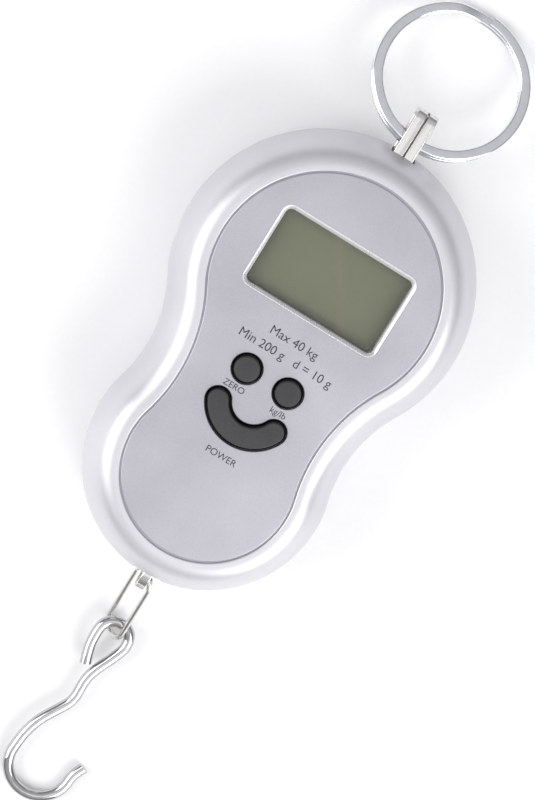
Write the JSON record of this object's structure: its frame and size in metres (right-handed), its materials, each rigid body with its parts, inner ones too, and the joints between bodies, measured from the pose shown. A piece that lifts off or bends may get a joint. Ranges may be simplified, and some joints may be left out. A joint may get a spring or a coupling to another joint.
{
  "type": "luggage scale",
  "caption": "Pocket hanging scale for luggage with a display, rubber keys, a split ring at the top and a bent-wire hook on a link below, lying on its back.",
  "frame": {"origin": "on the flat of the back, half way along the casing and on its middle line", "axes": "+Y along the casing towards the split ring, +Z out of the display, +X to the right of someone reading it"},
  "size_m": [0.0716, 0.2156, 0.0281],
  "materials": {
    "silver_shell": "ABS with a smooth satin silver coating",
    "silver_panel": "ABS with a fine-grained matt silver coating",
    "clear_window": "clear polished acrylic",
    "display_glass": "olive-grey reflective liquid crystal display",
    "key_rubber": "matt dark grey silicone rubber",
    "black_plastic": "matt black moulded plastic",
    "circuit_board": "green solder mask with tinned pads",
    "aluminium": "machined aluminium with fine cutter marks",
    "hanger_steel": "bright nickel-plated steel strip and wire, lightly rubbed",
    "inner_steel": "zinc-plated pressed steel",
    "contact_metal": "nickel-plated spring steel",
    "chrome": "bright chrome plate over drawn wire",
    "screw_steel": "zinc-plated steel",
    "cell_jacket": "printed film over a steel can, of about the density of aluminium with what is in it",
    "gauge_foil": "amber film with an etched foil grid",
    "red_lead": "soft PVC insulation",
    "black_lead": "soft PVC insulation",
    "green_lead": "soft PVC insulation",
    "white_lead": "soft PVC insulation"
  },
  "bodies": {
    "root": {"battery_1": "cell_jacket", "battery_2": "cell_jacket", "battery_lead_black": "black_lead", "battery_lead_red": "red_lead", "board_screw_1": "screw_steel", "board_screw_2": "screw_steel", "board_screw_3": "screw_steel", "bracket_pin": "inner_steel", "bridge_contact": "contact_metal", "cell_lead_black": "black_lead", "cell_lead_green": "green_lead", "cell_lead_red": "red_lead", "cell_lead_white": "white_lead", "controller_chip": "black_plastic", "display_window": "clear_window", "face_panel": "silver_panel", "filter_capacitor": "aluminium", "front_shell": "silver_shell", "hanger_loop": "hanger_steel", "hanger_pin": "inner_steel", "hook_bracket": "hanger_steel", "keypad_mat": "key_rubber", "lcd_frame": "black_plastic", "lcd_glass": "display_glass", "load_cell": "aluminium", "lower_spring": "contact_metal", "main_board": "circuit_board", "negative_contact": "contact_metal", "positive_contact": "contact_metal", "pull_strap": "inner_steel", "rear_shell": "silver_shell", "shell_screw_1": "screw_steel", "shell_screw_2": "screw_steel", "shell_screw_3": "screw_steel", "shell_screw_4": "screw_steel", "strain_gauge_1": "gauge_foil", "strain_gauge_2": "gauge_foil", "strain_gauge_3": "gauge_foil", "strain_gauge_4": "gauge_foil", "strap_rivet": "inner_steel", "timing_crystal": "aluminium", "upper_spring": "contact_metal", "zebra_strip": "black_plastic"},
    "ring": {"split_ring": "chrome"},
    "link": {"link": "hanger_steel"},
    "hook": {"hook": "chrome"},
    "battery_door": {"battery_door": "silver_shell"},
    "tare_key": {"tare_key": "key_rubber"},
    "unit_key": {"unit_key": "key_rubber"},
    "power_key": {"power_key": "key_rubber"}
  },
  "joints": [
    {"name": "ring_swing", "type": "hinge", "parent": "root", "child": "ring", "pos_m": [0.0012, 0.0603, 0.0145], "axis": [1, 0, 0], "range_deg": [-69.3, 110.7]},
    {"name": "link_swing", "type": "hinge", "parent": "root", "child": "link", "pos_m": [0.001, -0.0568, 0.0145], "axis": [1, 0, 0], "range_deg": [-84, 3]},
    {"name": "hook_swing", "type": "hinge", "parent": "link", "child": "hook", "pos_m": [0.00207, -0.07213, 0.00402], "axis": [1, 0, 0], "range_deg": [-58, 34]},
    {"name": "battery_door_hinge", "type": "hinge", "parent": "root", "child": "battery_door", "pos_m": [0, -0.0466, 0], "axis": [-1, 0, 0], "range_deg": [0, 75]},
    {"name": "tare_key_press", "type": "slide", "parent": "root", "child": "tare_key", "axis": [0, 0, -1], "range_m": [0, 0.0008], "stiffness_N_per_m": 1500},
    {"name": "unit_key_press", "type": "slide", "parent": "root", "child": "unit_key", "axis": [0, 0, -1], "range_m": [0, 0.0008], "stiffness_N_per_m": 1500},
    {"name": "power_key_press", "type": "slide", "parent": "root", "child": "power_key", "axis": [0, 0, -1], "range_m": [0, 0.0008], "stiffness_N_per_m": 1500}
  ]
}
